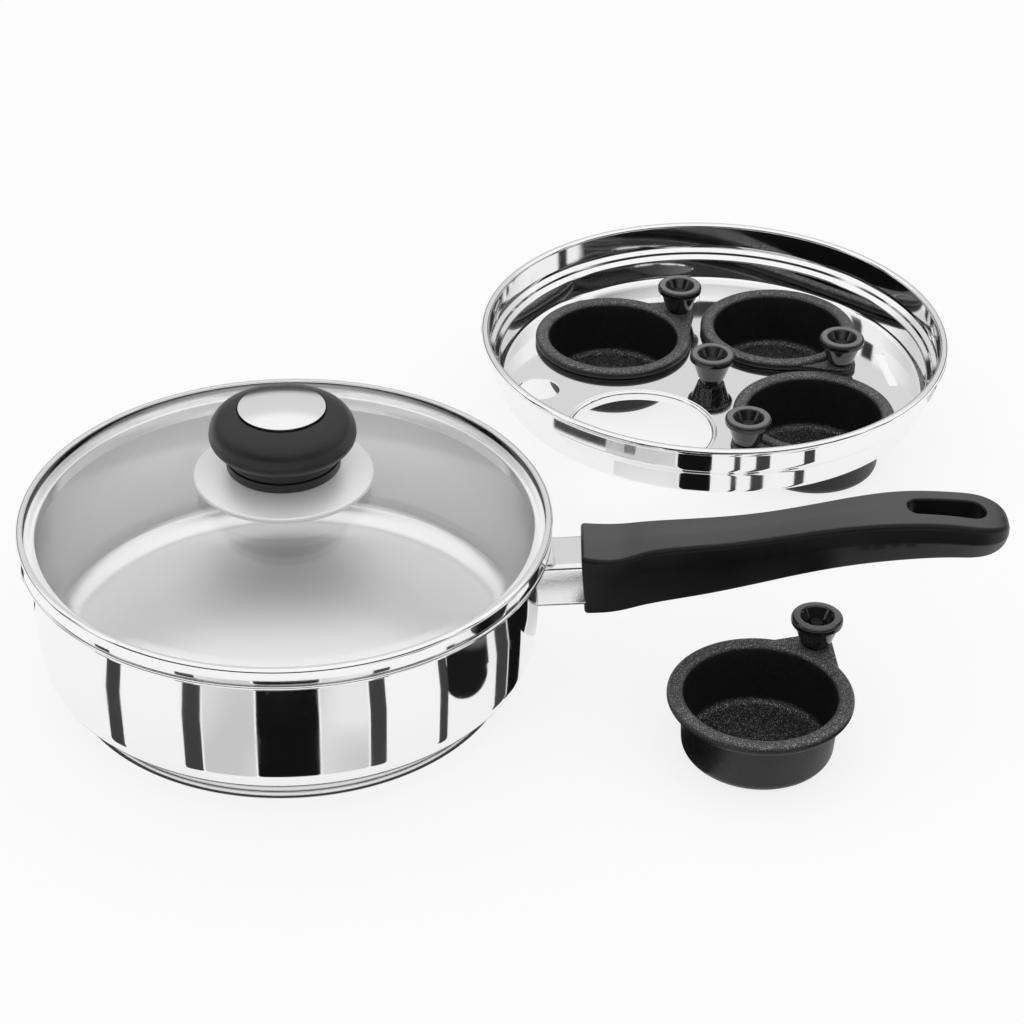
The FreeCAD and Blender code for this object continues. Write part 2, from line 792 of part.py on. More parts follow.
def make_knob_grip():
    crest = f"{KNOB_FOOT} + knob_height"
    groove = f"{KNOB_FOOT} + neck_band"
    turned_part("knob_grip", [
        corner("insert_radius", KNOB_FOOT),
        corner("neck_foot_radius", KNOB_FOOT, "neck_groove / 2"),
        corner("neck_foot_radius", groove),
        corner("neck_foot_radius - neck_groove_depth", groove),
        corner("neck_foot_radius - neck_groove_depth", f"{groove} + neck_groove"),
        corner("neck_foot_radius", f"{groove} + neck_groove"),
        corner("neck_foot_radius", f"{KNOB_FOOT} + neck_top", "neck_groove"),
        corner("bulge_radius", f"{KNOB_FOOT} + bulge_height", "bulge_round"),
        corner("shoulder_radius", f"{KNOB_FOOT} + shoulder_height", "shoulder_round"),
        corner("crest_radius", crest),
        corner("badge_radius + badge_fit", crest),
        corner("badge_radius + badge_fit", f"{crest} - badge_depth"),
        corner("0", f"{crest} - badge_depth"),
        corner("0", f"{KNOB_FOOT} + insert_length"),
        corner("insert_radius", f"{KNOB_FOOT} + insert_length"),
    ])
    floor = f"({crest} - badge_depth)"
    edge = f"({floor} + badge_depth + badge_edge)"
    dome = "((badge_radius ^ 2 + badge_dome ^ 2) / (2 * badge_dome))"
    turned_part("knob_cap", [
        corner("0", floor),
        corner("badge_radius", floor),
        corner("badge_radius", edge, bow=dome),
        corner("0", f"{edge} + badge_dome"),
    ])


def make_knob_fixings():
    outside = "insert_radius - insert_fit"
    turned_part("knob_insert", [
        corner("knob_screw_radius + screw_fit", KNOB_FOOT),
        corner(outside, KNOB_FOOT),
        corner(outside, f"{KNOB_FOOT} + insert_length - insert_fit"),
        corner("knob_screw_radius + screw_fit", f"{KNOB_FOOT} + insert_length - insert_fit"),
    ])
    turned_part("knob_screw", [
        corner("0", f"{INNER_FACE} - knob_head_height"),
        corner("knob_head_radius", f"{INNER_FACE} - knob_head_height", "knob_head_height / 2"),
        corner("knob_head_radius", INNER_FACE),
        corner("knob_screw_radius", INNER_FACE),
        corner("knob_screw_radius", f"{KNOB_FOOT} + knob_screw_grip"),
        corner("0", f"{KNOB_FOOT} + knob_screw_grip"),
    ])


# Small knobs: the same moulding stands on each cup's tab and in the middle of the tray


def make_small_knob(label, spot):
    neck = "small_height - small_head"
    body = turned_part(label, [
        corner("small_screw_radius + screw_fit", "0"),
        corner("small_foot_radius", "0"),
        corner("small_foot_radius", "small_foot", "small_foot / 4"),
        corner("small_waist_radius", "small_foot"),
        corner("small_neck_radius", neck),
        corner("small_head_radius", neck, "small_head_round"),
        corner("small_head_radius", "small_height", "small_crest_round"),
        corner("small_bowl_radius", "small_height", "small_bowl_round"),
        corner("small_bowl_floor_radius", "small_height - small_bowl_depth"),
        corner("small_screw_radius + screw_fit", "small_height - small_bowl_depth"),
    ])
    place(body, *spot)


def make_small_screw(label, spot, plate):
    """A screw whose head lies in the knob's bowl and whose tip ends inside the plate below."""
    seat = "small_height - small_bowl_depth"
    tip = f"small_screw_end - {plate}"
    crown = f"{seat} + small_head_screw_height"
    body = turned_part(label, [
        corner("0", tip),
        corner("small_screw_radius", tip),
        corner("small_screw_radius", seat),
        corner("small_head_screw_radius", seat),
        corner("small_head_screw_radius", crown, "small_head_screw_height / 2"),
        corner("0", crown),
    ])
    place(body, *spot)


# Egg cups: the rim's underside is the face that lies on the tray

RIM_UNDER = "(cup_height - cup_rim)"
TAB_TOP = "(cup_height - tab_drop)"


def tab_outline():
    """A teardrop: the rim's circle, the tab's round end and the two lines that touch both."""
    lean = "acos((cup_radius - tab_end_radius) / tab_reach)"
    inner = "(cup_radius - cup_rim_round)"
    rim_x = f"{inner} * cos({lean})"
    rim_y = f"{inner} * sin({lean})"
    end_x = f"tab_reach + tab_end_radius * cos({lean})"
    end_y = f"tab_end_radius * sin({lean})"
    return [
        corner(rim_x, f"-{rim_y}"),
        corner(end_x, f"-{end_y}", bow="tab_end_radius"),
        corner(end_x, end_y),
        corner(rim_x, rim_y),
    ]


def make_egg_cup(label, across, along, direction):
    body = new_body(label)
    solid = start_sketch(body, label + "_outside")
    draw_outline(solid, [
        corner("0", "0"),
        corner("cup_foot_radius", "0", "cup_foot_round"),
        corner("cup_body_radius", RIM_UNDER),
        corner("cup_radius", RIM_UNDER, "cup_rim_round"),
        corner("cup_radius", "cup_height", "cup_rim_round"),
        corner("0", "cup_height"),
    ])
    turn(body, solid)
    tab = start_sketch(body, label + "_tab", "XY_Plane", RIM_UNDER)
    draw_outline(tab, tab_outline())
    pad(body, tab, "cup_rim - tab_drop")
    hollow = start_sketch(body, label + "_hollow")
    draw_outline(hollow, [
        corner("0", "cup_wall"),
        corner("cup_foot_radius - cup_wall", "cup_wall", "cup_foot_round - cup_wall"),
        corner("cup_body_radius - cup_wall", "cup_height - cup_mouth_round"),
        corner("cup_body_radius - cup_wall + cup_mouth_round", "cup_height"),
        corner("cup_body_radius - cup_wall + cup_mouth_round", "cup_height + overrun"),
        corner("0", "cup_height + overrun"),
    ])
    turn(body, hollow, cut=True)
    hole = start_sketch(body, label + "_hole", "XY_Plane")
    draw_circle(hole, "tab_reach", "0", "small_screw_radius + screw_fit")
    cut_through(body, hole)
    place(body, across, along, "0", direction)


def make_cup_set(number, across, along, direction):
    """A cup with its knob and screw."""
    make_egg_cup(f"egg_cup_{number}", across, along, direction)
    spot = (f"{across} + tab_reach * cos({direction})", f"{along} + tab_reach * sin({direction})", TAB_TOP)
    make_small_knob(f"cup_knob_{number}", spot)
    make_small_screw(f"cup_screw_{number}", spot, "(cup_rim - tab_drop)")


def make_cups():
    for number in range(1, TRAY_CUPS + 1):
        heading = f"(tray_angle + {(2 - number) % 4 * QUARTER_TURN})"
        across = f"(tray_x + cup_circle * cos({heading}))"
        along = f"(tray_y + cup_circle * sin({heading}))"
        make_cup_set(number, across, along, f"({heading} - cup_tab_angle)")
    make_cup_set(TRAY_CUPS + 1, "loose_x", "loose_y", "loose_tab_angle")


# Poaching tray: modelled with its first cup hole on +X, then turned and put in its place

COLLAR = "(cup_body_radius + collar_fit)"
COLLAR_BEND = f"({COLLAR} + collar_round)"
PLATE_UNDER = "(-tray_sheet)"


def make_tray_plate():
    body = new_body("tray_plate")
    inner_upper = "tray_upper_radius - tray_sheet"
    lean = "tray_sheet / 2"
    roll_middle = "(tray_rim_radius - tray_roll)"
    dish = start_sketch(body, "tray_outline")
    draw_outline(dish, [
        corner("small_screw_radius + screw_fit", PLATE_UNDER),
        corner("tray_corner_radius", PLATE_UNDER, "tray_corner_round"),
        corner("tray_lower_radius", "tray_step", "tray_step_round"),
        corner("tray_upper_radius", "tray_shoulder", "tray_step_round + tray_sheet"),
        corner("tray_upper_radius", "tray_depth - tray_roll"),
        corner(inner_upper, "tray_depth - tray_roll"),
        corner(inner_upper, f"tray_shoulder + {lean}", "tray_step_round"),
        corner("tray_lower_radius - tray_sheet", f"tray_step + {lean}", "tray_step_round + tray_sheet"),
        corner("tray_corner_radius - tray_sheet", "0", "tray_corner_round - tray_sheet"),
        corner("small_screw_radius + screw_fit", "0"),
    ])
    turn(body, dish)
    roll = start_sketch(body, "tray_roll_section")
    draw_circle(roll, roll_middle, "tray_depth - tray_roll", "tray_roll")
    turn(body, roll)

    opening = start_sketch(body, "cup_opening", "XY_Plane")
    draw_circle(opening, "cup_circle", "0", COLLAR_BEND)
    repeat(body, cut_through(body, opening), "cup_openings")
    collar = start_sketch(body, "cup_collar")
    draw_axis(collar, "cup_circle")
    inner = f"cup_circle + {COLLAR}"
    outer = f"{inner} + tray_sheet"
    bend = f"cup_circle + {COLLAR_BEND} + tray_sheet"
    draw_outline(collar, [
        corner(inner, "-collar_drop"),
        corner(outer, "-collar_drop"),
        corner(outer, PLATE_UNDER, "collar_round - tray_sheet"),
        corner(bend, PLATE_UNDER),
        corner(bend, "0"),
        corner(inner, "0", "collar_round"),
    ])
    repeat(body, turn(body, collar, axis="Axis0"), "cup_collars")

    vents = start_sketch(body, "steam_vents", "XY_Plane")
    diagonal = "vent_circle * cos(45)"
    for number, (across, along) in enumerate(((1, 1), (-1, 1), (-1, -1))):
        draw_circle(vents, f"{diagonal} * {across}", f"{diagonal} * {along}", "vent_radius", f"_{number}")
    cut_through(body, vents)
    slot = start_sketch(body, "steam_slot", "XY_Plane")
    half = "slot_length / 2 * cos(45)"
    side = "slot_width / 2 * cos(45)"
    middle = "slot_circle * cos(45)"
    draw_outline(slot, [
        corner(f"{middle} - {half} + {side}", f"-({middle} + {half} + {side})"),
        corner(f"{middle} + {half} + {side}", f"-({middle} - {half} + {side})"),
        corner(f"{middle} + {half} - {side}", f"-({middle} - {half} - {side})"),
        corner(f"{middle} - {half} - {side}", f"-({middle} + {half} - {side})"),
    ])
    cut_through(body, slot)
    place(body, "tray_x", "tray_y", RIM_UNDER, "tray_angle")


def repeat(body, feature, name):
    """Repeat a feature at the four cup places round the tray."""
    doc.recompute()
    pattern = body.newObject("PartDesign::PolarPattern", name)
    pattern.Originals = [feature]
    axis = next(f for f in body.Origin.OriginFeatures if f.Role == "Z_Axis")
    pattern.Axis = (axis, [""])
    pattern.Angle = FULL_TURN
    pattern.Occurrences = TRAY_CUPS + 1
    body.Tip = pattern
    return pattern


def make_tray():
    make_tray_plate()
    spot = ("tray_x", "tray_y", RIM_UNDER)
    make_small_knob("tray_knob", spot)
    make_small_screw("tray_screw", spot, "tray_sheet")


# Checks and export


def check_document():
    for item in doc.Objects:
        if "Invalid" in item.State or "Error" in item.State:
            raise RuntimeError(f"{item.Label} failed: {item.State}")
    for body in sub_parts:
        shape = body.Shape
        if shape.isNull() or not shape.isValid() or not shape.Solids:
            raise RuntimeError(f"{body.Label} has no sound solid")


def export_parts():
    os.makedirs("parts", exist_ok=True)
    for body in sub_parts:
        body.Shape.exportStep(os.path.join("parts", body.Label + ".step"))
        print(f"{body.Label}: {len(body.Shape.Solids)} solid, {body.Shape.Volume:.0f} mm3")


make_pan_shell()
make_base()
make_strap()
make_ferrule()
make_grip()
make_handle_screw()
make_lid_glass()
make_lid_band()
make_knob_washers()
make_knob_dish()
make_knob_grip()
make_knob_fixings()
make_tray()
make_cups()
doc.recompute()
check_document()
export_parts()
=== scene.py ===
import bmesh
import bpy
import json
import math
from mathutils import Matrix, Vector

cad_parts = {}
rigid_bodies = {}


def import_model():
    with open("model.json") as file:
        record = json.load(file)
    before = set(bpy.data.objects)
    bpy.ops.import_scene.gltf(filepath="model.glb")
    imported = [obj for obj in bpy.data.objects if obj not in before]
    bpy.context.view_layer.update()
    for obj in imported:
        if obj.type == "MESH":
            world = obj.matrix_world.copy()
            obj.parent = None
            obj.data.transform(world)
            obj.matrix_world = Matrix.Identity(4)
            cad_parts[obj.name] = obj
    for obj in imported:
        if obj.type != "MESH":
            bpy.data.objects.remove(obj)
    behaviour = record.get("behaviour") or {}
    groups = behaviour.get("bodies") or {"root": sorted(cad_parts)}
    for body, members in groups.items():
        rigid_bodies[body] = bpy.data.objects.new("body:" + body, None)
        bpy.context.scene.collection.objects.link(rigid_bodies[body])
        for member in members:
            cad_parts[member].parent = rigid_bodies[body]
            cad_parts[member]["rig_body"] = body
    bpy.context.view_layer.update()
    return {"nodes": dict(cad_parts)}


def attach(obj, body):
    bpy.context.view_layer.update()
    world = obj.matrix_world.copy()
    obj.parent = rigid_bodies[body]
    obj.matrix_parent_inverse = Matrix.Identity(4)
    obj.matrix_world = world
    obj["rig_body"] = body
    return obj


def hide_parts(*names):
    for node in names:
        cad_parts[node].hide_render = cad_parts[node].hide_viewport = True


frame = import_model()
scene = bpy.context.scene

# Sizes and places are written in millimetres and degrees, and every mesh is in metres.
MM = 0.001
FULL_TURN = 2 * math.pi

# Points of a mesh that are this close, in metres, count as one.
NEAR = 1e-6
NEAR_AFTER_SPIN = 1e-7


def away(middle, reach, heading):
    """The point at a reach and a heading from a middle."""
    lean = math.radians(heading)
    return middle[0] + reach * math.cos(lean), middle[1] + reach * math.sin(lean)


# Three cups hang in the tray, and the fourth stands on the floor in front of the handle.
TRAY_MIDDLE = (177.6, 192.2)
TRAY_TURN = 53
CUP_CIRCLE = 55
PLATE_LEVEL = 23.0
TAB_THICKNESS = 2.6
TAB_REACH = 41.0
TAB_TURN = -103
CUP_PLACES = {
    number: (*away(TRAY_MIDDLE, CUP_CIRCLE, heading), heading + TAB_TURN)
    for number, heading in ((1, 143), (2, 53), (3, -37))
}
CUP_PLACES[4] = (184.3, -50.0, 55)


# Shader nodes


def add(tree, kind, links=(), **values):
    """Add a node: values set its properties, and links join sockets or numbers to its inputs."""
    node = tree.nodes.new(kind)
    for name, value in values.items():
        setattr(node, name, value)
    for where, source in links:
        if isinstance(source, bpy.types.NodeSocket):
            tree.links.new(source, node.inputs[where])
        else:
            node.inputs[where].default_value = source
    return node


def feed(tree, node, **sources):
    """Join sockets to a node's inputs, whose names have _ for a space."""
    for name, source in sources.items():
        tree.links.new(source, node.inputs[name.replace("_", " ")])


def combine(tree, operation, first, second):
    """A number worked out from two."""
    node = add(tree, "ShaderNodeMath", [(0, first), (1, second)], operation=operation)
    return node.outputs[0]


def add_up(tree, first, second, share):
    """The first number and a share of the second."""
    node = add(
        tree, "ShaderNodeMath", [(0, second), (1, share), (2, first)], operation="MULTIPLY_ADD")
    return node.outputs[0]


def spread(tree, value, low, high, start=0.3, end=0.7):
    """Spread a value that lies between start and end over low to high."""
    node = add(tree, "ShaderNodeMapRange", [
        ("Value", value), ("From Min", start), ("From Max", end), ("To Min", low), ("To Max", high),
    ])
    return node.outputs[0]


def fade(tree, value, start, end):
    """0 up to the start and 1 from the end on."""
    return spread(tree, value, 0.0, 1.0, start, end)


def neutral(level):
    """A grey, black or white."""
    return (level, level, level)


def tint(tree, share, first, second):
    """A colour between two, each a socket or red, green and blue."""
    first, second = (
        colour if isinstance(colour, bpy.types.NodeSocket) else (*colour, 1)
        for colour in (first, second)
    )
    node = add(tree, "ShaderNodeMix", [(0, share), (6, first), (7, second)], data_type="RGBA")
    return node.outputs[2]


def noise(tree, place, scale, detail, **others):
    """A value that wanders from place to place."""
    links = [("Vector", place), ("Scale", scale), ("Detail", detail), *others.items()]
    return add(tree, "ShaderNodeTexNoise", links).outputs[0]


def split(tree, vector):
    """A vector's three numbers."""
    return add(tree, "ShaderNodeSeparateXYZ", [(0, vector)]).outputs


def own_place(tree):
    """The place on the piece, in its own coordinates."""
    return add(tree, "ShaderNodeTexCoord").outputs["Object"]


def facing_up(tree):
    """1 on a level face, 0 on an upright one."""
    return split(tree, add(tree, "ShaderNodeNewGeometry").outputs["Normal"])[2]


def mix_shaders(tree, share, first, second):
    return add(
        tree, "ShaderNodeMixShader", [(0, share), (1, first.outputs[0]), (2, second.outputs[0])])


# Finish effects shared by several materials


def effect(name, outputs, **inputs):
    """A node group that takes a place and named numbers, ready to be filled."""
    tree = bpy.data.node_groups.new(name, "ShaderNodeTree")
    tree.interface.new_socket("Place", in_out="INPUT", socket_type="NodeSocketVector")
    for label, start in inputs.items():
        socket = tree.interface.new_socket(label, in_out="INPUT", socket_type="NodeSocketFloat")
        socket.default_value = start
    for label in outputs:
        tree.interface.new_socket(label, in_out="OUTPUT", socket_type="NodeSocketFloat")
    return tree, tree.nodes.new("NodeGroupInput").outputs, tree.nodes.new("NodeGroupOutput")


def make_turning_lines():
    """Fine rings round the piece's own axis, as turning and polishing leave them."""
    tree, given, made = effect("turning_lines", ("Ring", "Cloud"), Rings=900.0, Uneven=6.0)
    across, along, up = split(tree, given["Place"])
    flat = add(tree, "ShaderNodeCombineXYZ", [(0, across), (1, along)])
    reach = add(tree, "ShaderNodeVectorMath", [(0, flat.outputs[0])], operation="LENGTH")
    section = add(tree, "ShaderNodeCombineXYZ", [(0, reach.outputs["Value"]), (1, up)])
    ring = noise(tree, section.outputs[0], given["Rings"], 3.0, Roughness=0.65)
    cloud = noise(tree, given["Place"], given["Uneven"], 3.0)
    feed(tree, made, Ring=ring, Cloud=cloud)
    return tree


def make_handling_marks():
    """Faint smears and hair scratches that use leaves on a polished face."""
    tree, given, made = effect("handling_marks", ("Smear", "Hair"), Smears=28.0, Hairs=420.0)
    smear = noise(tree, given["Place"], given["Smears"], 4.0, Distortion=0.6)
    slim = add(tree, "ShaderNodeMapping", [
        ("Vector", given["Place"]), ("Scale", (1.0, 0.06, 0.3)), ("Rotation", (0.3, 0.5, 0.9)),
    ])
    hair = noise(tree, slim.outputs[0], given["Hairs"], 2.0)
    feed(tree, made, Smear=fade(tree, smear, 0.45, 0.75), Hair=fade(tree, hair, 0.66, 0.74))
    return tree


def make_coating_flecks():
    """Bright flecks and a pebbled face, as sprayed non-stick coating has."""
    tree, given, made = effect("coating_flecks", ("Fleck", "Pebble"), Flecks=2200.0, Share=0.75)
    cells = add(
        tree, "ShaderNodeTexVoronoi", [("Vector", given["Place"]), ("Scale", given["Flecks"])])
    draw = add(tree, "ShaderNodeSeparateColor", [(0, cells.outputs["Color"])])
    chosen = combine(tree, "LESS_THAN", draw.outputs[0], given["Share"])
    near = fade(tree, cells.outputs["Distance"], 0.42, 0.18)
    size = combine(tree, "MULTIPLY", near, draw.outputs[1])
    fleck = combine(tree, "MULTIPLY", size, chosen)
    feed(tree, made, Fleck=fleck, Pebble=noise(tree, given["Place"], given["Flecks"], 2.0))
    return tree


def make_moulded_grain():
    """The fine dull grain of moulded phenolic, with slow changes of shade."""
    tree, given, made = effect("moulded_grain", ("Grain", "Patch"), Grains=2600.0, Patches=45.0)
    grain = noise(tree, given["Place"], given["Grains"], 2.0)
    patch = noise(tree, given["Place"], given["Patches"], 4.0)
    feed(tree, made, Grain=grain, Patch=patch)
    return tree


TURNING_LINES = make_turning_lines()
HANDLING_MARKS = make_handling_marks()
COATING_FLECKS = make_coating_flecks()
MOULDED_GRAIN = make_moulded_grain()


# Materials


def start_material(name, centre=(0, 0), **sockets):
    """A Principled material, its tree and shader, and the place on the piece from a centre."""
    material = bpy.data.materials.new(name)
    material.use_nodes = True
    tree = material.node_tree
    shader = tree.nodes["Principled BSDF"]
    for socket, value in sockets.items():
        shader.inputs[socket.replace("_", " ")].default_value = value
    place = own_place(tree)
    if centre != (0, 0):
        moved = add(tree, "ShaderNodeMapping", [
            ("Vector", place), ("Location", (-centre[0] * MM, -centre[1] * MM, 0)),
        ])
        place = moved.outputs[0]
    return material, tree, shader, place


def use(tree, group, place, **values):
    """Place a shared effect in a material with its own values."""
    node = tree.nodes.new("ShaderNodeGroup")
    node.node_tree = group
    tree.links.new(place, node.inputs["Place"])
    for name, value in values.items():
        node.inputs[name].default_value = value
    return node.outputs


def raise_surface(tree, shader, height, depth):
    """Bump the surface by a height, whose whole range is the depth."""
    bump = add(tree, "ShaderNodeBump", [
        ("Height", height), ("Strength", 1.0), ("Distance", depth * MM),
    ])
    feed(tree, shader, Normal=bump.outputs[0])


def make_polished_steel(name, centre=(0, 0)):
    material, tree, shader, place = start_material(name, centre, Metallic=1.0)
    lines = use(tree, TURNING_LINES, place, Rings=700.0, Uneven=9.0)
    marks = use(tree, HANDLING_MARKS, place)
    colour = tint(tree, lines["Cloud"], neutral(0.90), (0.95, 0.95, 0.945))
    dull = spread(tree, marks["Smear"], 0.05, 0.10, 0.0, 1.0)
    dull = add_up(tree, dull, marks["Hair"], 0.05)
    feed(tree, shader, Base_Color=colour, Roughness=dull)
    raise_surface(tree, shader, lines["Ring"], 0.0008)
    return material


def make_satin_steel(name, dull, vary=0.02, depth=0.0006, shades=(0.74, 0.82), metal=1.0):
    material, tree, shader, place = start_material(name, Metallic=metal)
    lines = use(tree, TURNING_LINES, place, Rings=2400.0, Uneven=14.0)
    marks = use(tree, HANDLING_MARKS, place, Smears=20.0)
    shade = add_up(tree, lines["Ring"], lines["Cloud"], 0.3)
    colour = tint(tree, shade, neutral(shades[0]), neutral(shades[1]))
    soft = spread(tree, lines["Ring"], dull - vary, dull + vary)
    soft = add_up(tree, soft, marks["Smear"], vary * 2)
    feed(tree, shader, Base_Color=colour, Roughness=soft)
    raise_surface(tree, shader, lines["Ring"], depth)
    return material


def make_phenolic(name, shades, dull, gloss, painted_top_sheen=0.0, depth=0.02):
    """Moulded phenolic; its level faces are painted paler by the given share, a painted sheen of
    the light from above, and made rougher.
    """
    material, tree, shader, place = start_material(name, IOR=1.5, Specular_IOR_Level=gloss)
    grain = use(tree, MOULDED_GRAIN, place)
    marks = use(tree, HANDLING_MARKS, place, Smears=40.0, Hairs=700.0)
    shade = add_up(tree, grain["Patch"], marks["Hair"], 0.25)
    colour = tint(tree, shade, neutral(shades[0]), neutral(shades[1]))
    # Painted sheen: level faces are painted paler, as light from above would show them, and made
    # rougher.
    level = spread(tree, facing_up(tree), 0.0, painted_top_sheen, 0.85, 0.99)
    rough = spread(tree, grain["Patch"], dull - 0.05, dull + 0.05)
    rough = add_up(tree, rough, level, 1.0)
    rough = add_up(tree, rough, marks["Smear"], -0.04)
    feed(tree, shader, Base_Color=tint(tree, level, colour, neutral(1)), Roughness=rough)
    raise_surface(tree, shader, grain["Grain"], depth)
    return material


def make_cup_coating():
    """Black coating with bright flecks; the flecks are painted mostly on upward faces as painted
    glints, and the top of the rim a little paler as painted sheen.
    """
    material, tree, shader, place = start_material("cup_coating", IOR=1.45, Specular_IOR_Level=0.5)
    flecks = use(tree, COATING_FLECKS, place)
    # Painted glints: the flecks show mostly on upward faces, where light from above falls.
    upward = spread(tree, facing_up(tree), 0.04, 1.0, 0.3, 0.9)
    shown = combine(tree, "MULTIPLY", flecks["Fleck"], upward)
    grain = use(tree, MOULDED_GRAIN, place, Grains=900.0, Patches=60.0)
    base = tint(tree, grain["Patch"], neutral(0.004), neutral(0.009))
    # Painted sheen: the top of the rim is painted a little paler, as light from above shows it.
    rim = spread(tree, split(tree, place)[2], 0.0, 0.05, 0.020, 0.025)
    base = tint(tree, combine(tree, "MULTIPLY", rim, upward), base, neutral(0.9))
    colour = tint(tree, shown, base, (0.92, 0.92, 0.93))
    rough = add_up(tree, spread(tree, grain["Patch"], 0.34, 0.46), shown, -0.12)
    metal = combine(tree, "MULTIPLY", shown, 0.7)
    feed(tree, shader, Base_Color=colour, Roughness=rough, Metallic=metal)
    raise_surface(tree, shader, flecks["Pebble"], 0.09)
    return material


def make_clear_glass():
    material, tree, shader, place = start_material(
        "clear_glass", Base_Color=(0.99, 0.993, 0.992, 1), IOR=1.47, Transmission_Weight=1.0)
    marks = use(tree, HANDLING_MARKS, place, Smears=16.0)
    feed(tree, shader, Roughness=spread(tree, marks["Smear"], 0.0, 0.012, 0.0, 1.0))
    return material


def make_soft_seal():
    material, tree, shader, place = start_material("seal_rubber", IOR=1.45)
    grain = use(tree, MOULDED_GRAIN, place, Grains=1800.0)
    colour = tint(tree, grain["Patch"], neutral(0.02), neutral(0.05))
    feed(tree, shader, Base_Color=colour, Roughness=spread(tree, grain["Grain"], 0.6, 0.75))
    raise_surface(tree, shader, grain["Grain"], 0.03)
    return material


def make_plain_metal(name, dark, light, dull):
    material, tree, shader, place = start_material(name, Metallic=1.0)
    grain = use(tree, MOULDED_GRAIN, place, Grains=1500.0, Patches=90.0)
    colour = tint(tree, grain["Patch"], dark, light)
    rough = spread(tree, grain["Grain"], dull - 0.06, dull + 0.06)
    feed(tree, shader, Base_Color=colour, Roughness=rough)
    raise_surface(tree, shader, grain["Grain"], 0.01)
    return material


# The pan's inside has so fine a finish that its rings don't show.
FINE = {"vary": 0.004, "depth": 0.00002}

POLISHED = make_polished_steel("polished_steel")
TRAY_STEEL = make_polished_steel("tray_steel", TRAY_MIDDLE)
# Inner wall and floor are one satin steel: the wall is painted darker as painted shade, and the
# floor paler as painted light.
PAN_WALL = make_satin_steel("pan_wall_steel", dull=0.28, shades=(0.77, 0.79), **FINE)
PAN_FLOOR = make_satin_steel("pan_floor_steel", dull=0.24, shades=(0.96, 0.98), **FINE)
CAP_STEEL = make_satin_steel("base_steel", dull=0.12)
# The dish is only half metal, so that its near-white colour shows: painted light, where the steel
# would mirror the dark knob above it.
DISH_STEEL = make_satin_steel("dish_steel", dull=0.42, shades=(0.94, 0.97), metal=0.5)
FERRULE_STEEL = make_plain_metal("ferrule_steel", (0.84, 0.84, 0.835), (0.92, 0.92, 0.915), 0.14)
BRIGHT_CAP = make_satin_steel("knob_cap_steel", dull=0.14, shades=(0.86, 0.93))
# The handle and the small knobs have their level faces painted paler, a painted sheen of light from
# above.
GRIP_BLACK = make_phenolic("handle_phenolic", (0.004, 0.009), dull=0.38, gloss=0.25, painted_top_sheen=0.08)
KNOB_BLACK = make_phenolic("knob_phenolic", (0.009, 0.017), dull=0.42, gloss=0.45)
GLOSS_BLACK = make_phenolic(
    "small_knob_phenolic", (0.006, 0.012), dull=0.12, gloss=0.7, painted_top_sheen=0.15, depth=0.002)
COATING = make_cup_coating()
GLASS = make_clear_glass()
SEAL = make_soft_seal()
BRASS = make_plain_metal("insert_brass", (0.58, 0.42, 0.18), (0.72, 0.54, 0.26), 0.32)
ALUMINIUM = make_plain_metal("core_aluminium", (0.70, 0.705, 0.71), (0.80, 0.805, 0.81), 0.16)
SCREW_STEEL = make_plain_metal("screw_steel", neutral(0.34), neutral(0.52), 0.30)
DARK_SCREW = make_plain_metal("blackened_screw", neutral(0.02), neutral(0.05), 0.35)


# Making pieces

CORNER_STEP = 6
FEWEST_CORNER_STEPS = 4
BOW_STEPS = 24


def round_corner(bm, vert, radius):
    """Round one corner of a wire outline."""
    first, second = (edge.other_vert(vert).co - vert.co for edge in vert.link_edges)
    opening = first.angle(second)
    steps = math.ceil((math.pi - opening) / math.radians(CORNER_STEP))
    bmesh.ops.bevel(
        bm, geom=[vert], offset=radius * MM / math.tan(opening / 2), offset_type="OFFSET",
        segments=max(FEWEST_CORNER_STEPS, steps), profile=0.5, affect="VERTICES", material=-1,
    )


def draw_outline(bm, corners, closed):
    """A wire outline in the XZ plane from corners of radius, height and rounding."""
    verts = [bm.verts.new((corner[0] * MM, 0, corner[1] * MM)) for corner in corners]
    for first, second in zip(verts, verts[1:]):
        bm.edges.new((first, second))
    if closed:
        bm.edges.new((verts[-1], verts[0]))
    for vert, corner in zip(verts, corners):
        if len(corner) > 2:
            round_corner(bm, vert, corner[2])


def bow_edges(bm, first, second, radius):
    """Bow the straight wire between two corners outwards to a radius."""
    ends = [Vector((x * MM, 0, z * MM)) for x, z in (first, second)]
    edges = [
        edge for edge in bm.edges
        if all(min((vert.co - end).length for end in ends) < NEAR for vert in edge.verts)
    ]
    bmesh.ops.subdivide_edges(bm, edges=edges, cuts=BOW_STEPS - 1)
    run = ends[1] - ends[0]
    half = run.length / 2
    size = radius * MM
    rise = Vector((-run.z, 0, run.x)).normalized()
    middle = (ends[0] + ends[1]) / 2
    drop = math.sqrt(size * size - half * half)
    for vert in bm.verts:
        along = (vert.co - ends[0]).dot(run) / run.length_squared
        if -NEAR < along < 1 + NEAR and (vert.co - ends[0] - run * along).length < NEAR:
            offset = (vert.co - middle).length
            vert.co += rise * (math.sqrt(size * size - offset * offset) - drop)


def spin_round(bm, steps):
    """Turn the wire outline round the Z axis into a closed skin."""
    bmesh.ops.spin(
        bm, geom=bm.verts[:] + bm.edges[:], cent=(0, 0, 0), axis=(0, 0, 1), dvec=(0, 0, 0),
        angle=FULL_TURN, steps=steps, use_merge=True,
    )
    bmesh.ops.remove_doubles(bm, verts=bm.verts[:], dist=NEAR_AFTER_SPIN)
    bmesh.ops.recalc_face_normals(bm, faces=bm.faces[:])


def shift(bm, across, along, up=0):
    """Move the whole mesh."""
    bmesh.ops.translate(bm, verts=bm.verts[:], vec=(across * MM, along * MM, up * MM))


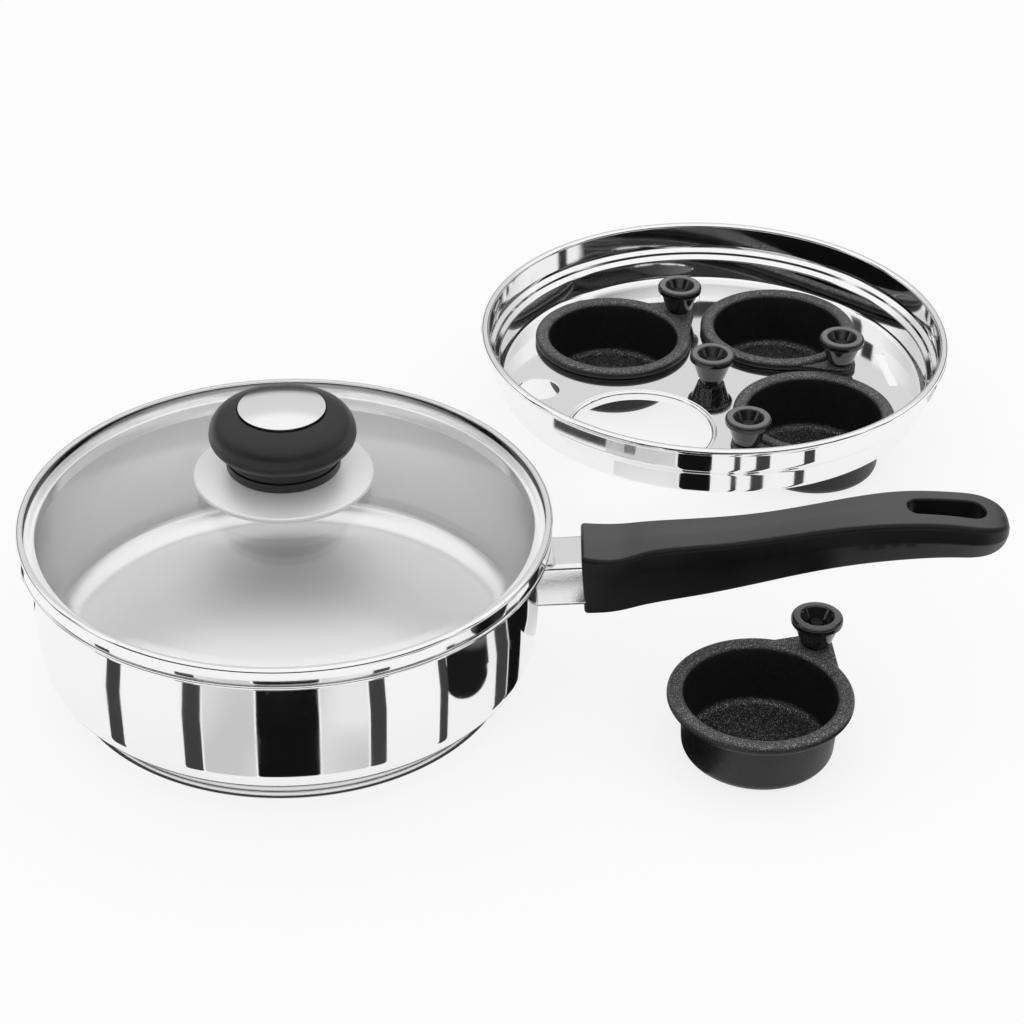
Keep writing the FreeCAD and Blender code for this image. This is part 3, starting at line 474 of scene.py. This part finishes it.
def turn_level(bm, angle):
    """Turn the mesh round the Z axis."""
    bmesh.ops.rotate(bm, verts=bm.verts[:], matrix=Matrix.Rotation(math.radians(angle), 3, "Z"))


def only_verts(items):
    """The points among what an operator gives back."""
    return [item for item in items if isinstance(item, bmesh.types.BMVert)]


def finish_piece(name, bm, nodes, materials, sharp=32):
    """Make the mesh an object that rides with the CAD nodes it stands for."""
    mesh = bpy.data.meshes.new(name)
    bm.to_mesh(mesh)
    bm.free()
    mesh.shade_smooth()
    mesh.set_sharp_from_angle(angle=math.radians(sharp))
    for material in materials:
        mesh.materials.append(material)
    obj = bpy.data.objects.new(name, mesh)
    scene.collection.objects.link(obj)
    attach(obj, frame["nodes"][nodes[0]]["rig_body"])
    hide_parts(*nodes)
    return obj


def turned_piece(node, corners, material, closed=True, steps=192, bows=(), at=(0, 0, 0)):
    """A turned piece that stands for one CAD node."""
    bm = bmesh.new()
    draw_outline(bm, corners, closed)
    for first, second, radius in bows:
        bow_edges(bm, first, second, radius)
    spin_round(bm, steps)
    shift(bm, *at)
    finish_piece(node + "_skin", bm, [node], [material])


def smooth_piece(node, material, sharp=32):
    """The CAD node's own shape with its facets joined and smoothed."""
    bm = bmesh.new()
    bm.from_mesh(frame["nodes"][node].data)
    bmesh.ops.remove_doubles(bm, verts=bm.verts[:], dist=NEAR)
    obj = finish_piece(node + "_skin", bm, [node], [material], sharp)
    even = obj.modifiers.new("even_normals", "WEIGHTED_NORMAL")
    even.keep_sharp = True


def paint(node, material):
    """Give a CAD node that keeps its own shape its finish."""
    mesh = frame["nodes"][node].data
    mesh.materials.clear()
    mesh.materials.append(material)


# Pan

INNER_FLOOR_REACH = 97


def make_pan_shell():
    """The shell is polished outside and on its lip, and satin on its inner wall and floor."""
    bm = bmesh.new()
    draw_outline(bm, [
        (0, 7.5), (96.9, 7.5, 14), (99.6, 33, 170), (98.5, 61.5, 2), (100.1, 64.1, 0.8),
        (103, 64.1), (103, 63.3), (103.8, 63.3, 0.3), (103.8, 64.9, 0.9), (99.3, 64.9, 1.6),
        (97.7, 61.7, 2.8), (98.8, 33, 169.2), (96.1, 8.3, 13.2), (0, 8.3),
    ], closed=False)
    spin_round(bm, 256)
    for face in bm.faces:
        middle = face.calc_center_median()
        outward = Vector((middle.x, middle.y, 0))
        turned_in = face.normal.dot(outward) < -0.05 * outward.length
        on_floor = face.normal.z > 0.5 and outward.length < INNER_FLOOR_REACH * MM
        # Floor faces take the steel painted paler as painted light, inner wall faces the steel
        # painted darker as painted shade.
        face.material_index = 2 if on_floor else 1 if turned_in else 0
    finish_piece(
        "pan_shell_skin", bm, ["pan_shell"], [POLISHED, PAN_WALL, PAN_FLOOR])


make_pan_shell()
turned_piece("base_core", [
    (0, 0.7), (87.2, 0.7, 1.5), (87.2, 7.5, 0.3), (0, 7.5),
], ALUMINIUM, closed=False, steps=224)
turned_piece("base_cap", [
    (0, 0), (24, 0, 0.8), (24.6, 0.3, 0.6), (26.4, 0.3, 0.6), (27, 0, 0.8), (52, 0, 0.8),
    (52.6, 0.3, 0.6), (54.4, 0.3, 0.6), (55, 0, 0.8), (88, 0, 2.2), (88, 4.2, 0.3),
    (87.3, 4.2, 0.3), (87.3, 0.7, 1.5), (0, 0.7),
], CAP_STEEL, closed=False, steps=224)
smooth_piece("handle_ferrule", FERRULE_STEEL)
smooth_piece("handle_grip", GRIP_BLACK, sharp=14)
paint("handle_bracket", SCREW_STEEL)
paint("handle_screw", SCREW_STEEL)


# Lid

turned_piece("lid_glass", [
    (3.4, 88.5), (100.9, 71.6), (103.2, 71.6), (103.2, 67.6), (100.9, 67.6), (3.4, 84.5),
], GLASS, steps=256, bows=(
    ((3.4, 88.5), (100.9, 71.6), 309.7), ((3.4, 84.5), (100.9, 67.6), 305.7),
))
turned_piece("lid_band", [
    (101.2, 72.3, 0.3), (104, 72.3, 1.5), (104, 66, 0.7), (101.4, 66), (101.4, 64.9),
    (96.9, 64.9), (96.9, 60.3, 0.3), (96.2, 60.3, 0.3), (96.2, 65.6, 0.7), (98.7, 65.6),
    (98.7, 67.6), (103.3, 67.6), (103.3, 71.6), (101.2, 71.6),
], POLISHED, steps=256)
turned_piece("knob_dish", [
    (3.4, 94.5), (21, 94.5, 0.7), (33.9, 91, 0.55), (33.9, 90), (34.6, 90), (34.6, 91.7, 0.9),
    (21, 95.2, 0.7), (3.4, 95.2),
], DISH_STEEL)
turned_piece("knob_grip", [
    (0, 107.2), (4.2, 107.2), (4.2, 95.2), (22, 95.2, 0.55), (22, 98.8), (20.9, 98.8),
    (20.9, 99.9), (22, 99.9), (22, 102.4, 1.1), (28.7, 106.8, 4.5), (27.2, 115.2, 7),
    (18, 119.4), (17.3, 119.4), (17.3, 118.1), (0, 118.1),
], KNOB_BLACK, closed=False)
turned_piece("knob_cap", [
    (0, 118.1), (16.7, 118.1), (16.7, 120.3), (0, 121.9),
], BRIGHT_CAP, closed=False, bows=(((0, 121.9), (16.7, 120.3), 87.9),))
paint("knob_washer", SEAL)
paint("inner_washer", SEAL)
paint("knob_insert", BRASS)
paint("knob_screw", SCREW_STEEL)


# Small knobs

SMALL_KNOB = [
    (1.75, 0), (4.7, 0), (4.7, 1.8, 0.45), (6.1, 1.8, 0.3), (8.8, 10, 0.3), (10.2, 10, 1),
    (10.2, 13.6, 1.5), (6.7, 13.6, 1), (3.7, 8.8, 0.6), (1.75, 8.8),
]


def make_small_knob(node, at):
    turned_piece(node, SMALL_KNOB, GLOSS_BLACK, steps=96, at=at)


# Tray

TRAY_UNDERSIDE = -0.8
VENT_PLACE = 55.86
SLOT_PLACE = 57.63
SLOT_HALF_LENGTH = 15
SLOT_HALF_WIDTH = 2.1
SLOT_ROUNDING = 0.5


def join_in(bm, part):
    """Put a second mesh into the first."""
    skin = bpy.data.meshes.new("joined_skin")
    part.to_mesh(skin)
    part.free()
    bm.from_mesh(skin)
    bpy.data.meshes.remove(skin)


def add_turned(bm, corners, steps, at=(0, 0)):
    """Turn an open wire round an upright axis and add its skin to the mesh."""
    part = bmesh.new()
    draw_outline(part, corners, closed=False)
    spin_round(part, steps)
    shift(part, *at)
    join_in(bm, part)


def add_slot(bm):
    """The walls of the long slot in the plate."""
    slot = bmesh.new()
    ends = [
        slot.verts.new((side * SLOT_HALF_LENGTH * MM, edge * SLOT_HALF_WIDTH * MM, 0))
        for side, edge in ((-1, -1), (1, -1), (1, 1), (-1, 1))
    ]
    for first, second in zip(ends, ends[1:] + ends[:1]):
        slot.edges.new((first, second))
    for vert in ends:
        round_corner(slot, vert, SLOT_ROUNDING)
    walls = bmesh.ops.extrude_edge_only(slot, edges=slot.edges[:])
    bmesh.ops.translate(slot, verts=only_verts(walls["geom"]), vec=(0, 0, TRAY_UNDERSIDE * MM))
    turn_level(slot, 45)
    shift(slot, SLOT_PLACE, -SLOT_PLACE)
    join_in(bm, slot)


def close_level(bm, level):
    """Fill the flat sheet between all the open edges at one level."""
    edges = [
        edge for edge in bm.edges
        if edge.is_boundary and all(abs(vert.co.z - level * MM) < NEAR for vert in edge.verts)
    ]
    bmesh.ops.triangle_fill(bm, use_beauty=True, edges=edges, normal=(0, 0, 1))


def make_tray_plate():
    """Rim and wall, four collared holes, three round vents and a slot, joined by a flat sheet."""
    bm = bmesh.new()
    add_turned(bm, [
        (89.5, 0), (95.6, 0, 2.2), (96.2, 10.2, 1.2), (98.4, 11.7, 0.5), (98.8, 12.9, 0.5),
        (100.9, 14, 0.5), (101.2, 15.4, 0.6), (101.2, 26.2, 1.5), (104.8, 26.2, 1.6),
        (104.8, 23, 1.55), (102, 23, 0.2), (102, 14.2, 3), (97, 9.8, 2.2),
        (96.4, TRAY_UNDERSIDE, 3), (89.5, TRAY_UNDERSIDE),
    ], 256)
    for across, along in ((1, 0), (0, 1), (-1, 0), (0, -1)):
        add_turned(bm, [
            (33.8, 0), (33.5, 0, 0.25), (33.1, -0.3, 0.25), (32.7, 0, 0.25), (31.2, 0, 1.25),
            (31.2, -4), (32, -4), (32, TRAY_UNDERSIDE, 0.8), (33.8, TRAY_UNDERSIDE),
        ], 128, (across * CUP_CIRCLE, along * CUP_CIRCLE))
    for across, along in ((1, 1), (-1, 1), (-1, -1)):
        add_turned(bm, [
            (9.6, 0), (9.3, 0, 0.25), (9.3, TRAY_UNDERSIDE), (9.6, TRAY_UNDERSIDE),
        ], 64, (across * VENT_PLACE, along * VENT_PLACE))
    add_slot(bm)
    close_level(bm, 0)
    close_level(bm, TRAY_UNDERSIDE)
    bmesh.ops.recalc_face_normals(bm, faces=bm.faces[:])
    turn_level(bm, TRAY_TURN)
    shift(bm, *TRAY_MIDDLE, PLATE_LEVEL)
    finish_piece("tray_plate_skin", bm, ["tray_plate"], [TRAY_STEEL])


make_tray_plate()
make_small_knob("tray_knob", (*TRAY_MIDDLE, PLATE_LEVEL))
paint("tray_screw", DARK_SCREW)


# Egg cups

RIM_REACH = 36
TAB_ROOT_REACH = 33
TAB_END_RADIUS = 7.1
TAB_EDGE_ROUNDING = 0.8


def add_tab(bm):
    """The flat teardrop tab: straight sides from the rim to a round end, with rounded edges."""
    bowl = set(bm.verts)
    lean = math.acos((RIM_REACH - TAB_END_RADIUS) / TAB_REACH)
    ahead, aside = math.cos(lean) * MM, -math.sin(lean) * MM
    level = PLATE_LEVEL * MM
    outer = bm.verts.new(
        (TAB_REACH * MM + TAB_END_RADIUS * ahead, TAB_END_RADIUS * aside, level))
    inner = bm.verts.new((TAB_ROOT_REACH * ahead, TAB_ROOT_REACH * aside, level))
    ends = []
    for start, middle in ((outer, TAB_REACH), (inner, 0)):
        swept = bmesh.ops.spin(
            bm, geom=[start], cent=(middle * MM, 0, level), axis=(0, 0, 1), dvec=(0, 0, 0),
            angle=2 * lean, steps=24)
        ends += only_verts(swept["geom_last"])
    bm.edges.new((outer, inner))
    bm.edges.new(ends)
    border = [edge for edge in bm.edges if not bowl.intersection(edge.verts)]
    flat = bmesh.ops.edgeloop_fill(bm, edges=border)["faces"]
    top = only_verts(bmesh.ops.extrude_face_region(bm, geom=flat)["geom"])
    bmesh.ops.translate(bm, verts=top, vec=(0, 0, TAB_THICKNESS * MM))
    tab = [face for face in bm.faces if not bowl.intersection(face.verts)]
    bmesh.ops.recalc_face_normals(bm, faces=tab)
    edges = {edge for face in tab if abs(face.normal.z) > 0.5 for edge in face.edges}
    bmesh.ops.bevel(
        bm, geom=list(edges), offset=TAB_EDGE_ROUNDING * MM, offset_type="OFFSET", segments=4,
        profile=0.5, affect="EDGES", material=-1)


def make_egg_cup(number, across, along, turn):
    bm = bmesh.new()
    draw_outline(bm, [
        (0, 0), (29.3, 0, 4.8), (30.8, PLATE_LEVEL, 0.6), (RIM_REACH, PLATE_LEVEL, 1.7),
        (RIM_REACH, 27, 1.9), (29.6, 27, 2.4), (28.1, 1.2, 3.6), (0, 1.2),
    ], closed=False)
    spin_round(bm, 160)
    add_tab(bm)
    turn_level(bm, turn)
    shift(bm, across, along)
    finish_piece(f"egg_cup_{number}_skin", bm, [f"egg_cup_{number}"], [COATING])


for number, (across, along, turn) in CUP_PLACES.items():
    make_egg_cup(number, across, along, turn)
    spot = away((across, along), TAB_REACH, turn)
    make_small_knob(f"cup_knob_{number}", (*spot, PLATE_LEVEL + TAB_THICKNESS))
    paint(f"cup_screw_{number}", DARK_SCREW)


# Floor, light and camera

CAMERA_PLACE = (0.08801, -0.92264, 0.67596)
FLOOR_PLACE = (100, 100, -0.3)
FLOOR_RADIUS = 6000

# Cards lie just above the floor; those that others may cover lie lower.
CARD_LEVEL = 0.2
LOW_CARD_LEVEL = 0.1
CARD_ROUNDING = 2.4
CARD_STEP = 3
FRONT_HALF = 85


def stage_piece(name, bm, material):
    mesh = bpy.data.meshes.new(name)
    bm.to_mesh(mesh)
    bm.free()
    mesh.materials.append(material)
    obj = bpy.data.objects.new(name, mesh)
    scene.collection.objects.link(obj)
    return obj


def make_floor():
    """A pale floor: white to the camera, mirrors and glass but for shadows, and grey as a light."""
    bm = bmesh.new()
    bmesh.ops.create_circle(bm, cap_ends=True, segments=64, radius=FLOOR_RADIUS * MM)
    shift(bm, *FLOOR_PLACE)
    material = bpy.data.materials.new("floor_white")
    material.use_nodes = True
    tree = material.node_tree
    shader = tree.nodes["Principled BSDF"]
    shader.inputs["Roughness"].default_value = 0.9
    shader.inputs["Specular IOR Level"].default_value = 0.0
    path = add(tree, "ShaderNodeLightPath").outputs
    seen = combine(tree, "MAXIMUM", path["Is Camera Ray"], path["Is Glossy Ray"])
    seen = combine(tree, "MAXIMUM", seen, path["Is Transmission Ray"])
    feed(tree, shader, Base_Color=tint(tree, seen, neutral(0.45), neutral(0.95)))
    white = add(tree, "ShaderNodeEmission", [("Color", (1, 1, 1, 1)), ("Strength", 1.0)])
    both = mix_shaders(tree, combine(tree, "MULTIPLY", seen, 0.8), shader, white)
    feed(tree, tree.nodes["Material Output"], Surface=both.outputs[0])
    stage_piece("studio_floor", bm, material)


def start_card(name):
    """A card's material, its tree, and the node that gives it its shade."""
    material = bpy.data.materials.new(name)
    material.use_nodes = True
    tree = material.node_tree
    tree.nodes.remove(tree.nodes["Principled BSDF"])
    shade = add(tree, "ShaderNodeEmission", [("Strength", 1.0)])
    feed(tree, tree.nodes["Material Output"], Surface=shade.outputs[0])
    return material, tree, shade


def plain_card(name, level):
    material, _, shade = start_card(name)
    shade.inputs["Color"].default_value = (*neutral(level), 1)
    return material


def grey_card():
    """A card whose grey wanders softly."""
    material, tree, shade = start_card("card_grey")
    cloud = noise(tree, own_place(tree), 16.0, 0.0)
    feed(tree, shade, Color=spread(tree, cloud, 0.6, 0.85))
    return material


def fading_card():
    """A black card that fades to grey away from the pan."""
    material, tree, shade = start_card("card_fading")
    across = split(tree, own_place(tree))[0]
    feed(tree, shade, Color=spread(tree, across, 0.01, 0.5, 0.152, 0.172))
    return material


def lay_down(name, bm, middle, level, material):
    """Lay a card on the floor, where only surfaces that mirror it see it."""
    shift(bm, *middle, level)
    card = stage_piece(name, bm, material)
    for ray in ("camera", "diffuse", "transmission", "volume_scatter", "shadow"):
        setattr(card, "visible_" + ray, False)


def lay_card(name, middle, radius, first, last, start, reach, material):
    """A card that an upright round wall mirrors as a band between two headings from the front.

    It runs from the start to the reach, away from a wall of the radius. Towards the front it goes
    the way in which the wall mirrors the camera's view, and elsewhere straight out.
    """
    bm = bmesh.new()
    lean = math.radians(first)
    towards = math.atan2(CAMERA_PLACE[0] - middle[0] * MM, middle[1] * MM - CAMERA_PLACE[1])
    foot = bm.verts.new((radius * MM * math.sin(lean), -radius * MM * math.cos(lean), 0))
    bmesh.ops.spin(
        bm, geom=[foot], cent=(0, 0, 0), axis=(0, 0, 1), dvec=(0, 0, 0),
        angle=math.radians(last - first), steps=max(2, math.ceil((last - first) / CARD_STEP)))
    near = bm.verts[:]
    ends = [vert for vert in near if len(vert.link_edges) == 1]
    far = only_verts(bmesh.ops.extrude_edge_only(bm, edges=bm.edges[:])["geom"])
    for length, verts in ((start, near), (reach, far)):
        for vert in verts:
            heading = math.atan2(vert.co.x, -vert.co.y)
            if abs(heading) < math.radians(FRONT_HALF):
                heading = 2 * heading - towards
            vert.co += Vector((math.sin(heading), -math.cos(heading), 0)) * length * MM
    if start:
        bmesh.ops.bevel(
            bm, geom=ends, offset=CARD_ROUNDING * MM, offset_type="OFFSET", segments=6,
            profile=0.5, affect="VERTICES", material=-1)
    lay_down(name, bm, middle, CARD_LEVEL, material)


def lay_row(name, middle, radius, start, reach, cards):
    """A row of numbered cards round one wall, each with its headings and its material."""
    for number, (first, last, material) in enumerate(cards):
        lay_card(f"{name}_{number}", middle, radius, first, last, start, reach, material)


def lay_disc(name, middle, radius, material):
    bm = bmesh.new()
    bmesh.ops.create_circle(bm, cap_ends=True, segments=48, radius=radius * MM)
    lay_down(name, bm, middle, LOW_CARD_LEVEL, material)


def lay_ring(name, inner, outer, material):
    """A ring about the pan's axis."""
    bm = bmesh.new()
    bm.edges.new([bm.verts.new((radius * MM, 0, 0)) for radius in (inner, outer)])
    spin_round(bm, 192)
    lay_down(name, bm, (0, 0), LOW_CARD_LEVEL, material)


def lay_board(name, first, last, material):
    """An oblong card between two corners."""
    bm = bmesh.new()
    bmesh.ops.create_grid(bm, x_segments=1, y_segments=1, size=0.5)
    size = [abs(end - begin) * MM for begin, end in zip(first, last)]
    bmesh.ops.scale(bm, verts=bm.verts[:], vec=(*size, 1))
    middle = [(begin + end) / 2 for begin, end in zip(first, last)]
    lay_down(name, bm, middle, LOW_CARD_LEVEL, material)


def make_cards():
    """Dark and grey cards lie round pan, tray and handle, for the polished walls to mirror."""
    black, dark = plain_card("card_black", 0.006), plain_card("card_dark", 0.05)
    grey, fading = grey_card(), fading_card()
    pan_row = {"middle": (0, 0), "radius": 89, "start": 22, "reach": 103}
    lay_row("pan_card", **pan_row, cards=(
        (-37.5, -33.5, dark), (-18.2, -14.1, dark), (-13.7, -2.6, grey), (-2.2, 10.9, black),
        (11.3, 21.4, grey), (21.8, 25.4, dark), (38.4, 40.6, dark), (55.8, 60.6, dark),
        (61, 67, black),
    ))
    lay_row("pan_card_back", **pan_row, cards=(
        (-162, -158, dark), (-150, -141, grey), (-140.5, -127, black), (-126.5, -118, grey),
        (-110, -106, dark), (172, 176, dark),
    ))
    tray = (TRAY_MIDDLE, 98)
    lay_row("tray_card_back", *tray, start=8, reach=90, cards=(
        (92, 101, grey), (101.5, 113, black), (113.5, 122, grey), (134, 138, dark),
        (152, 155, dark), (168, 176, grey), (176.5, 190, black), (190.5, 199, grey),
        (214, 218, dark), (232, 236, dark),
    ))
    lay_ring("pan_card_foot", 88.2, 91.2, dark)
    lay_card("pan_card_side", (0, 0), 97, 41.8, 54.6, 64, 92, fading)
    lay_disc("pan_card_round", (138, -66), 23, fading)
    lay_row("tray_card", *tray, start=0, reach=90, cards=(
        (-30, -12, grey), (-11.5, -3.2, black), (2.2, 3.7, dark), (7.5, 11, dark),
        (19.7, 22.6, dark),
    ))
    lay_card("tray_card_5", *tray, -46, -22, 61, 70, dark)
    lay_card("tray_card_6", *tray, -46, -17, 36, 46, dark)
    lay_board("handle_card_0", (150, -140), (228, -300), dark)
    lay_board("handle_card_1", (228, -30), (340, -300), dark)


def make_world():
    """White light from all round, more of it from above.

    The camera and glass see plain white. Mirrors see a white room with a grey backdrop behind, a
    dark front, a dark edge above the floor and a dark upright at each side.
    """
    world = bpy.data.worlds.new("studio")
    scene.world = world
    world.use_nodes = True
    tree = world.node_tree
    across, along, up = split(tree, add(tree, "ShaderNodeTexCoord").outputs["Generated"])
    heading = combine(tree, "ARCTAN2", across, combine(tree, "MULTIPLY", along, -1.0))

    def band(value, middle, half, soft):
        """1 within half of the middle and 0 beyond, with a soft change."""
        off = combine(tree, "SUBTRACT", value, middle)
        size = add(tree, "ShaderNodeMath", [(0, off)], operation="ABSOLUTE")
        node = add(tree, "ShaderNodeMapRange", [
            ("Value", size.outputs[0]), ("From Min", half + soft), ("From Max", half - soft),
        ], interpolation_type="SMOOTHSTEP")
        return node.outputs[0]

    def sector(middle, half, soft):
        return band(heading, math.radians(middle), math.radians(half), math.radians(soft))

    uprights = combine(tree, "MAXIMUM", sector(-95, 4, 1), sector(84, 3, 1))
    uprights = combine(tree, "MULTIPLY", uprights, fade(tree, up, 0.64, 0.60))
    edge = band(up, 0.22, 0.09, 0.03)
    front = combine(tree, "MULTIPLY", band(up, 0.36, 0.25, 0.03), sector(0, 72, 3))
    dark = combine(tree, "MAXIMUM", uprights, combine(tree, "MAXIMUM", front, edge))
    wall = combine(tree, "MULTIPLY", fade(tree, along, 0.35, 0.65), fade(tree, up, 0.67, 0.61))
    backdrop = tint(tree, wall, neutral(1), neutral(0.72))
    room = tint(tree, dark, backdrop, neutral(0.03))
    mirrored = add(tree, "ShaderNodeBackground", [("Color", room), ("Strength", 1.0)])
    light = tree.nodes["Background"]
    light.inputs["Color"].default_value = (1, 1, 1, 1)
    feed(tree, light, Strength=spread(tree, up, 0.55, 1.15, 0.0, 1.0))
    white = add(tree, "ShaderNodeBackground", [("Color", (1, 1, 1, 1)), ("Strength", 1.0)])
    path = add(tree, "ShaderNodeLightPath").outputs
    shown = mix_shaders(tree, path["Is Glossy Ray"], light, mirrored)
    clear = combine(tree, "MAXIMUM", path["Is Camera Ray"], path["Is Transmission Ray"])
    both = mix_shaders(tree, clear, shown, white)
    feed(tree, tree.nodes["World Output"], Surface=both.outputs[0])


def make_camera():
    """The photograph's camera; tilt and roll are in radians."""
    tilt, roll = 0.5778, 0.016
    ahead = Vector((0, math.cos(tilt), -math.sin(tilt)))
    over = Vector((0, math.sin(tilt), math.cos(tilt)))
    right = math.cos(roll) * Vector((1, 0, 0)) + math.sin(roll) * over
    up = -math.sin(roll) * Vector((1, 0, 0)) + math.cos(roll) * over
    lens = bpy.data.cameras.new("photo_camera")
    lens.sensor_width = 36
    lens.lens = 99.75
    camera = bpy.data.objects.new("photo_camera", lens)
    scene.collection.objects.link(camera)
    turn = Matrix((right, up, -ahead)).transposed().to_4x4()
    camera.matrix_world = Matrix.Translation(CAMERA_PLACE) @ turn
    scene.camera = camera


make_floor()
make_cards()
make_world()
make_camera()
scene.view_settings.view_transform = "Standard"
